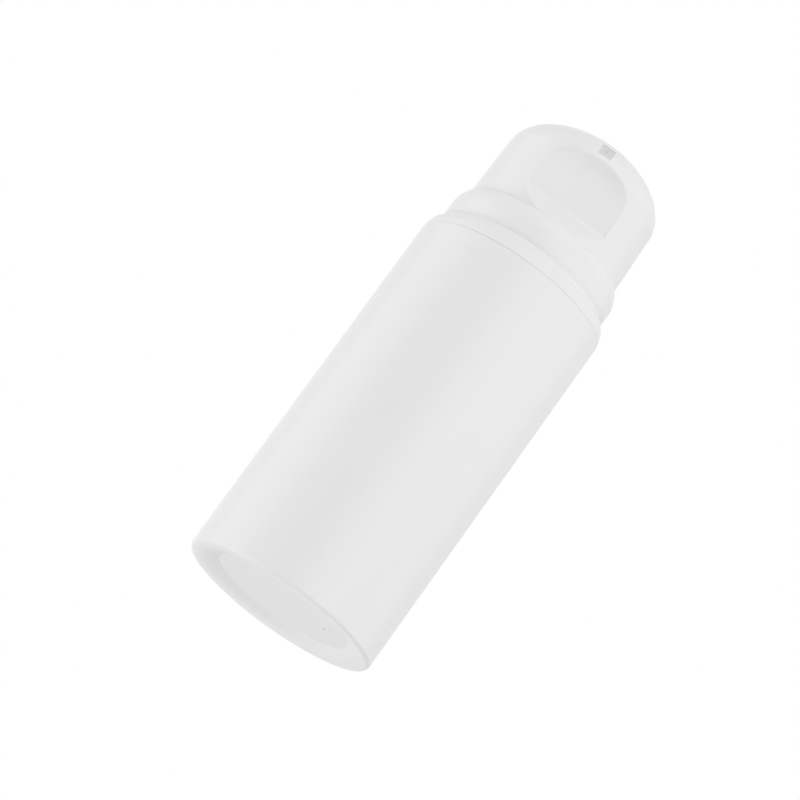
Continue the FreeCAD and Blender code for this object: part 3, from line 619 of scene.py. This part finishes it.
class BOTTLE_OT_collar(bpy.types.Operator):
    """Builds the collar with its upright band and rounded top"""
    bl_idname = "airless_bottle.collar"
    bl_label = "Collar"

    def execute(self, context):
        low, top, radius = COLLAR_LOW.z, COLLAR_TOP.z, COLLAR_TOP.x
        band_top = low + COLLAR_BAND
        inside = MOUTH_RADIUS + NECK_WALL + NECK_FIT
        lip = MOUTH_RADIUS + MOUTH_ROUND
        across, up = CROWN_SHARES
        crown = arc_points(
            (radius, band_top),
            (radius - (radius - lip) * across, band_top + (top - band_top) * up),
            (lip, top - MOUTH_ROUND / 2))
        foot = low - COLLAR_FOOT_DROP
        band = rounded_outline([(inside, foot), (radius - COLLAR_FOOT_TUCK, foot),
                                (radius, low - COLLAR_BAND_DROP, COLLAR_FOOT_ROUND), (radius, band_top)])
        mouth = rounded_outline([(lip, top - MOUTH_ROUND / 2), (MOUTH_RADIUS + MOUTH_ROUND / 3, top),
                                 (MOUTH_RADIUS, top - MOUTH_ROUND / 3)])
        outline = band[:-1] + crown[:-1] + mouth + [(MOUTH_RADIUS, RING_TOP.z), (inside, RING_TOP.z)]
        finished_piece("collar_skin", turned_form(outline), "bottle", "collar",
                       satin_polypropylene(context.scene.bottle_colours))
        return {'FINISHED'}


def head_levels(skirt, top, inset):
    """Radius and height of the head's levels, from the skirt's foot to its centre."""
    head = skirt - HEAD_DRAFT
    dome = top - DOME_RISE
    rise = top - inset - dome
    levels = []
    height = SHELL_LOW.z
    while height < dome:
        share = max(0, (height - COLLAR_TOP.z) / (dome - COLLAR_TOP.z))
        levels.append((skirt - HEAD_DRAFT * share - inset, height))
        height += HEAD_LEVEL_STEP
    for step in range(DOME_STEPS + 1):
        far = step / DOME_STEPS
        near = 1 - far
        side, over = 3 * near * near * far, 3 * near * far * far
        across = near ** 3 + side + over * DOME_TOP_SHARE
        up = side * DOME_SIDE_SHARE + over + far ** 3
        levels.append(((head - inset) * across, dome + rise * up))
    return levels


def recess_reach(across, height, dome, inset):
    """How far in front of the axis the recess's surface stands at a place."""
    sunk = RECESS_FLAT - RECESS_SINK
    side = sunk + (abs(across) - RECESS_HALF_WIDTH) * RECESS_SIDE_SLOPE + RECESS_SINK
    flat = -soft_least(-sunk, -side, SINK_SOFTNESS) - inset
    foot = COLLAR_TOP.z + RECESS_FOOT
    slope = flat + (foot - height) / math.tan(RECESS_LIP_ANGLE)
    reach = -soft_least(-flat, -slope, RECESS_SOFTNESS)
    cove = dome - RECESS_COVE_DROP
    if height > cove:
        radius = RECESS_COVE_RADIUS + inset
        rise = min(height - cove, radius * COVE_END_SHARE)
        reach += radius - math.sqrt(radius * radius - rise * rise)
    return reach


def head_angles():
    """Angles round the head, finest where the recess ends and coarse behind."""
    half = [0.0]
    for limit, step in HEAD_STEPS:
        while half[-1] + math.radians(step) < math.radians(limit):
            half.append(half[-1] + math.radians(step))
    return [-angle for angle in reversed(half[1:])] + half


def head_surface(form, sizes, angles, inset):
    """Adds the head's surface, sunk by an inset, and gives its lowest ring of points."""
    dome = sizes.overall_height - DOME_RISE
    rings = []
    for radius, height in head_levels(sizes.skirt_radius, sizes.overall_height, inset):
        if radius < POINT_RADIUS:
            rings.append([form.verts.new((0, 0, height))])
            continue
        ring = []
        for angle in angles:
            across, ahead = radius * math.sin(angle), radius * math.cos(angle)
            if ahead > 0:
                reach = recess_reach(across, height, dome, inset)
                ahead = soft_least(ahead, reach, EDGE_SOFTNESS)
            ring.append(form.verts.new((across, -ahead, height)))
        rings.append(ring)
    for low, high in zip(rings, rings[1:]):
        join_rings(form, low, high)
    return rings[0]


class BOTTLE_OT_actuator(bpy.types.Operator):
    """Builds the domed actuator with its front recess and nozzle window"""
    bl_idname = "airless_bottle.actuator"
    bl_label = "Actuator"

    def execute(self, context):
        sizes = context.scene.bottle_sizes
        angles = head_angles()
        form = bmesh.new()
        outer, inner = [head_surface(form, sizes, angles, inset) for inset in (0, HEAD_WALL)]
        for step in range(len(angles)):
            after = (step + 1) % len(angles)
            form.faces.new((outer[step], inner[step], inner[after], outer[after]))
        piece = finished_piece("actuator_skin", form, "actuator", "actuator_shell",
                               satin_polypropylene(context.scene.bottle_colours))
        low = Vector((NOZZLE_LOW.x - WINDOW_FIT, -sizes.body_radius, NOZZLE_LOW.z - WINDOW_FIT))
        high = Vector((NOZZLE_TOP.x + WINDOW_FIT, NOZZLE_TOP.y, NOZZLE_TOP.z + WINDOW_FIT))
        cut_away(piece, box_form(low, high), "nozzle_window")
        return {'FINISHED'}


def dome_reach(across, height, levels):
    """How far in front of the axis the head's turned surface stands at a place."""
    for (low_radius, low), (high_radius, high) in zip(levels, levels[1:]):
        if low <= height <= high:
            radius = low_radius + (high_radius - low_radius) * (height - low) / (high - low)
            return math.sqrt(radius * radius - across * across)


def grid_rim(rows):
    """The points on the edge of a grid, once round."""
    return (rows[0] + [row[-1] for row in rows[1:]] + rows[-1][-2::-1]
            + [row[0] for row in rows[-2:0:-1]])


class BOTTLE_OT_nozzle(bpy.types.Operator):
    """Builds the nozzle insert, whose face follows the dome, with its outlet"""
    bl_idname = "airless_bottle.nozzle"
    bl_label = "Nozzle insert"

    def execute(self, context):
        sizes = context.scene.bottle_sizes
        levels = head_levels(sizes.skirt_radius, sizes.overall_height, 0)
        shares = [step / NOZZLE_STEPS for step in range(NOZZLE_STEPS + 1)]
        size = NOZZLE_TOP - NOZZLE_LOW
        form = bmesh.new()
        front, back = [], []
        places = [NOZZLE_LOW.x + size.x * share for share in shares]
        for height in [NOZZLE_LOW.z + size.z * share for share in shares]:
            front.append([form.verts.new((across, NOZZLE_SINK - dome_reach(across, height, levels),
                                          height)) for across in places])
            back.append([form.verts.new((across, NOZZLE_TOP.y, height)) for across in places])
        for side in (front, back):
            for low, high in zip(side, side[1:]):
                for step in range(NOZZLE_STEPS):
                    form.faces.new((low[step], low[step + 1], high[step + 1], high[step]))
        front_rim, back_rim = grid_rim(front), grid_rim(back)
        for step in range(len(front_rim)):
            form.faces.new((front_rim[step - 1], front_rim[step], back_rim[step], back_rim[step - 1]))
        # The nozzle insert's grey plastic is painted shade for the shadow in its opening
        piece = finished_piece("nozzle_skin", form, "actuator", "nozzle_insert",
                               nozzle_painted_shade_plastic(context.scene.bottle_colours))
        middle = (NOZZLE_LOW + NOZZLE_TOP) / 2
        face = NOZZLE_SINK - dome_reach(0, middle.z, levels)
        place = Matrix.Translation((0, face, middle.z)) @ Matrix.Rotation(math.pi / 2, 4, 'X')
        cut_away(piece, rod_form(OUTLET_RADIUS, 2 * OUTLET_DEPTH, OUTLET_SIDES, place), "outlet")
        return {'FINISHED'}


class BOTTLE_OT_return_spring(bpy.types.Operator):
    """Winds the return spring at the length of its solid"""
    bl_idname = "airless_bottle.return_spring"
    bl_label = "Return spring"

    def execute(self, context):
        low, high = SPRING_LOW.z + WIRE_RADIUS, SPRING_TOP.z - WIRE_RADIUS
        coil = SPRING_TOP.x - WIRE_RADIUS
        turn = 2 * math.pi * SPRING_TURNS
        form = bmesh.new()
        rings = []
        for step in range(SPRING_TURNS * TURN_STEPS + 1):
            share = step / (SPRING_TURNS * TURN_STEPS)
            angle = turn * share
            outward = Vector((math.cos(angle), math.sin(angle), 0))
            along = Vector((-math.sin(angle) * coil * turn, math.cos(angle) * coil * turn, high - low))
            upward = outward.cross(along).normalized()
            middle = outward * coil + Vector((0, 0, low + (high - low) * share))
            ring = []
            for side in range(WIRE_SIDES):
                around = 2 * math.pi * side / WIRE_SIDES
                spoke = outward * math.cos(around) + upward * math.sin(around)
                ring.append(form.verts.new(middle + spoke * WIRE_RADIUS))
            rings.append(ring)
        for first, last in zip(rings, rings[1:]):
            for side in range(WIRE_SIDES):
                form.faces.new((first[side - 1], first[side], last[side], last[side - 1]))
        form.faces.new(rings[0])
        form.faces.new(rings[-1])
        piece = finished_piece("spring_coil", form, "bottle", "return_spring",
                               drawn_steel("drawn_stainless_wire", stretch=(1.0, 1.0, 6.0),
                                           roughness=0.28))
        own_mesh(piece)
        return {'FINISHED'}


class BOTTLE_OT_pump(bpy.types.Operator):
    """Finishes the pump's own pieces: body, stem, pistons, ball and seal"""
    bl_idname = "airless_bottle.pump"
    bl_label = "Pump"

    def execute(self, context):
        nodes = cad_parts
        milky = ("pump_body", "ball_cage", "pump_retainer", "stem", "piston_rod", "spout_core")
        coat([nodes[name] for name in milky], natural_polypropylene(context.scene.bottle_colours))
        coat([nodes["dosing_piston"], nodes["follower_piston"]], waxy_polyethylene())
        coat([nodes["deck_gasket"]], gasket_foam())
        coat([nodes["inlet_ball"]],
             drawn_steel("ground_stainless_ball", stretch=(1.0, 1.0, 1.0), roughness=0.14))
        return {'FINISHED'}


# Studio

def softbox(name, turn, tilt, size, power):
    """A rectangular lamp that faces the bottle's middle; turn goes from the front to the right."""
    lamp = bpy.data.lights.new(name, 'AREA')
    lamp.shape = 'RECTANGLE'
    lamp.size, lamp.size_y = size
    lamp.energy = power
    holder = bpy.data.objects.new(name, lamp)
    away = Vector((math.sin(turn) * math.cos(tilt), -math.cos(turn) * math.cos(tilt), math.sin(tilt)))
    holder.matrix_world = (Matrix.Translation(BOTTLE_MIDDLE + away * SOFTBOX_DISTANCE)
                           @ away.to_track_quat('Z', 'Y').to_matrix().to_4x4())
    bpy.context.scene.collection.objects.link(holder)


def light_tent(strength):
    """White for the eye and for reflections, and an even fill light for everything else."""
    world = bpy.data.worlds.new("light_tent")
    bpy.context.scene.world = world
    world.use_nodes = True
    tree = world.node_tree
    tree.nodes.clear()
    path = add_node(tree, "ShaderNodeLightPath")
    seen = add_node(tree, "ShaderNodeMath", {"operation": 'MAXIMUM'},
                    {0: path.outputs["Is Camera Ray"], 1: path.outputs["Is Transmission Ray"]})
    shown = add_node(tree, "ShaderNodeMath", {"operation": 'MAXIMUM'},
                     {0: seen.outputs[0], 1: path.outputs["Is Glossy Ray"]})
    fill = add_node(tree, "ShaderNodeBackground", {"Color": (1, 1, 1, 1), "Strength": strength})
    white = add_node(tree, "ShaderNodeBackground", {"Color": (1, 1, 1, 1), "Strength": 1.0})
    mixed = add_node(tree, "ShaderNodeMixShader", None,
                     {0: shown.outputs[0], 1: fill.outputs[0], 2: white.outputs[0]})
    add_node(tree, "ShaderNodeOutputWorld", None, {"Surface": mixed.outputs[0]})


def pale_floor():
    """A floor that shows from above with the bottle's shadow, fades to white and lets light through."""
    form = bmesh.new()
    bmesh.ops.create_grid(form, x_segments=1, y_segments=1, size=FLOOR_SIZE,
                          matrix=Matrix.Translation((0, 0, -FLOOR_GAP)))
    floor = placed_object("studio_floor", form)
    material, tree = new_material("white_studio_board")
    path = add_node(tree, "ShaderNodeLightPath")
    side = add_node(tree, "ShaderNodeNewGeometry")
    above = add_node(tree, "ShaderNodeMath", {"operation": 'SUBTRACT', 0: 1.0},
                     {1: side.outputs["Backfacing"]})
    shown = add_node(tree, "ShaderNodeMath", {"operation": 'MULTIPLY'},
                     {0: path.outputs["Is Camera Ray"], 1: above.outputs[0]})
    clear = add_node(tree, "ShaderNodeBsdfTransparent")
    board = add_node(tree, "ShaderNodeBsdfDiffuse", {"Color": linear("#F7F7F7")})
    place = add_node(tree, "ShaderNodeTexCoord").outputs["Object"]
    reach = add_node(tree, "ShaderNodeVectorMath", {"operation": 'LENGTH'}, {0: place})
    far = add_node(tree, "ShaderNodeMapRange", {"interpolation_type": 'SMOOTHSTEP',
                                                "From Min": FADE_START, "From Max": FADE_END},
                   {"Value": reach.outputs["Value"]})
    white = add_node(tree, "ShaderNodeEmission", {"Color": (1, 1, 1, 1), "Strength": 1.0})
    faded = add_node(tree, "ShaderNodeMixShader", None,
                     {0: far.outputs["Result"], 1: board.outputs[0], 2: white.outputs[0]})
    finish_surface(tree, "ShaderNodeMixShader", None,
                   {0: shown.outputs[0], 1: clear.outputs[0], 2: faded.outputs[0]})
    floor.data.materials.append(material)


def leaning_camera(studio):
    """The camera of the picture: below the bottle's middle and rolled, so that the bottle leans."""
    tilt = studio.camera_elevation
    ahead = Vector((0, math.cos(tilt), -math.sin(tilt)))
    upright = Vector((0, math.sin(tilt), math.cos(tilt)))
    across = Vector((1, 0, 0))
    right = across * math.cos(studio.lean) + upright * math.sin(studio.lean)
    up = upright * math.cos(studio.lean) - across * math.sin(studio.lean)
    centre = (PICTURE_SIDE - 1) / 2
    off_right = (BOTTLE_IN_PICTURE[0] - centre) / FOCAL_LENGTH_IN_PIXELS
    off_up = (centre - BOTTLE_IN_PICTURE[1]) / FOCAL_LENGTH_IN_PIXELS
    axis = (ahead - right * off_right - up * off_up).normalized()
    right = (right - axis * right.dot(axis)).normalized()
    up = right.cross(axis)
    turned = Matrix((right, up, -axis)).transposed().to_4x4()
    lens = bpy.data.cameras.new("leaning_camera")
    lens.sensor_width = SENSOR_WIDTH
    lens.lens = FOCAL_LENGTH_IN_PIXELS / PICTURE_SIDE * SENSOR_WIDTH
    lens.clip_start = CLIP_START
    lens.clip_end = CLIP_END
    camera = bpy.data.objects.new("leaning_camera", lens)
    camera.matrix_world = Matrix.Translation(BOTTLE_MIDDLE - ahead * studio.camera_distance) @ turned
    bpy.context.scene.collection.objects.link(camera)
    bpy.context.scene.camera = camera


class BOTTLE_OT_studio(bpy.types.Operator):
    """Sets up the floor, the light tent, the softboxes and the camera"""
    bl_idname = "airless_bottle.studio"
    bl_label = "Studio"

    def execute(self, context):
        studio = context.scene.bottle_studio
        context.scene.view_settings.view_transform = 'Standard'
        light_tent(studio.fill)
        pale_floor()
        for name, turn, tilt, size, power in SOFTBOXES:
            softbox(name, math.radians(turn), math.radians(tilt), size, power)
        leaning_camera(studio)
        return {'FINISHED'}


class BOTTLE_PT_sidebar(bpy.types.Panel):
    """Sizes, colours and steps of the bottle"""
    bl_idname = "BOTTLE_PT_sidebar"
    bl_label = "Airless pump bottle"
    bl_space_type = 'VIEW_3D'
    bl_region_type = 'UI'
    bl_category = "Bottle"

    def draw(self, context):
        scene = context.scene
        for title, group in (("Sizes", scene.bottle_sizes), ("Colours", scene.bottle_colours),
                             ("Studio", scene.bottle_studio)):
            box = self.layout.box()
            box.label(text=title)
            for name in group.__annotations__:
                box.prop(group, name)
        for step in STEPS:
            self.layout.operator(step.bl_idname)


STEPS = (BOTTLE_OT_outer_sleeve, BOTTLE_OT_inner_container, BOTTLE_OT_shoulder_ring, BOTTLE_OT_collar,
         BOTTLE_OT_actuator, BOTTLE_OT_nozzle, BOTTLE_OT_return_spring, BOTTLE_OT_pump,
         BOTTLE_OT_studio)
GROUPS = (("bottle_sizes", BottleSizes), ("bottle_colours", BottleColours),
          ("bottle_studio", BottleStudio))


def register():
    for name, group in GROUPS:
        bpy.utils.register_class(group)
        setattr(bpy.types.Scene, name, bpy.props.PointerProperty(type=group))
    for step in STEPS:
        bpy.utils.register_class(step)
    bpy.utils.register_class(BOTTLE_PT_sidebar)


def unregister():
    bpy.utils.unregister_class(BOTTLE_PT_sidebar)
    for step in reversed(STEPS):
        bpy.utils.unregister_class(step)
    for name, group in reversed(GROUPS):
        delattr(bpy.types.Scene, name)
        bpy.utils.unregister_class(group)


def main():
    register()
    steps = bpy.ops.airless_bottle
    steps.outer_sleeve()
    steps.inner_container()
    steps.shoulder_ring()
    steps.collar()
    steps.actuator()
    steps.nozzle()
    steps.return_spring()
    steps.pump()
    steps.studio()


if __name__ == "__main__":
    main()
